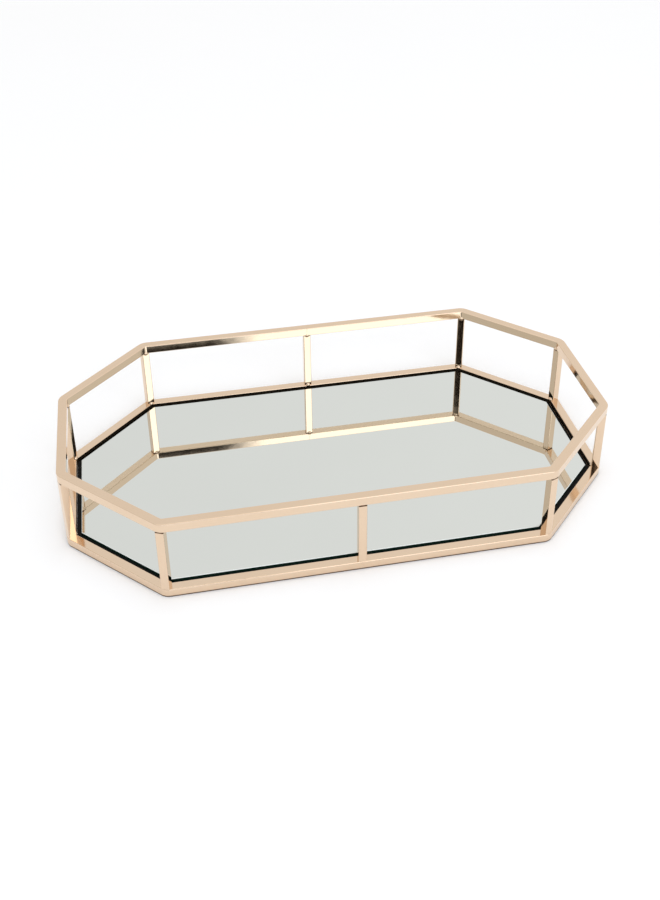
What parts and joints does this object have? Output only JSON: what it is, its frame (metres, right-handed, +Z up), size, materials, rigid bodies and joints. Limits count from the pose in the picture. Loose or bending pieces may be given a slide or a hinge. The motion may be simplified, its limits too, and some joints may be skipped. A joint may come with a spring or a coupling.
{
  "type": "mirrored vanity tray",
  "caption": "Stretched octagonal dresser tray: bent and welded plated bar rails on upright posts, open sides, mirror deck inside the bottom rail.",
  "frame": {"origin": "centre of the footprint, on the surface that the bottom rail stands on", "axes": "+X along the tray's length, +Y towards the back long side, +Z up through the open top"},
  "size_m": [0.36, 0.2, 0.057],
  "materials": {
    "plated_bar": "polished champagne gold plating on steel bar",
    "plated_weld": "plated over the weld, bright",
    "plated_tab": "plated sheet steel, satin",
    "black_board": "black faced board, matt",
    "adhesive_tape": "double sided adhesive tape",
    "mirror_glass": "silvered float glass with a ground arris"
  },
  "bodies": {
    "root": {"bottom_rail": "plated_bar", "top_rail": "plated_bar", "bottom_rail_seam_weld": "plated_weld", "top_rail_seam_weld": "plated_weld", "bottom_weld_beads": "plated_weld", "top_weld_beads": "plated_weld", "post_front_left": "plated_bar", "post_front_right": "plated_bar", "post_right_front": "plated_bar", "post_right_back": "plated_bar", "post_back_right": "plated_bar", "post_back_left": "plated_bar", "post_left_back": "plated_bar", "post_left_front": "plated_bar", "post_front_middle": "plated_bar", "post_back_middle": "plated_bar", "tab_front_left": "plated_tab", "tab_front_right": "plated_tab", "tab_back_left": "plated_tab", "tab_back_right": "plated_tab", "tab_corner_front_left": "plated_tab", "tab_corner_front_right": "plated_tab", "tab_corner_back_left": "plated_tab", "tab_corner_back_right": "plated_tab", "backing_board": "black_board", "tape_front": "adhesive_tape", "tape_back": "adhesive_tape", "tape_left": "adhesive_tape", "tape_right": "adhesive_tape", "mirror_glass": "mirror_glass"}
  },
  "joints": []
}
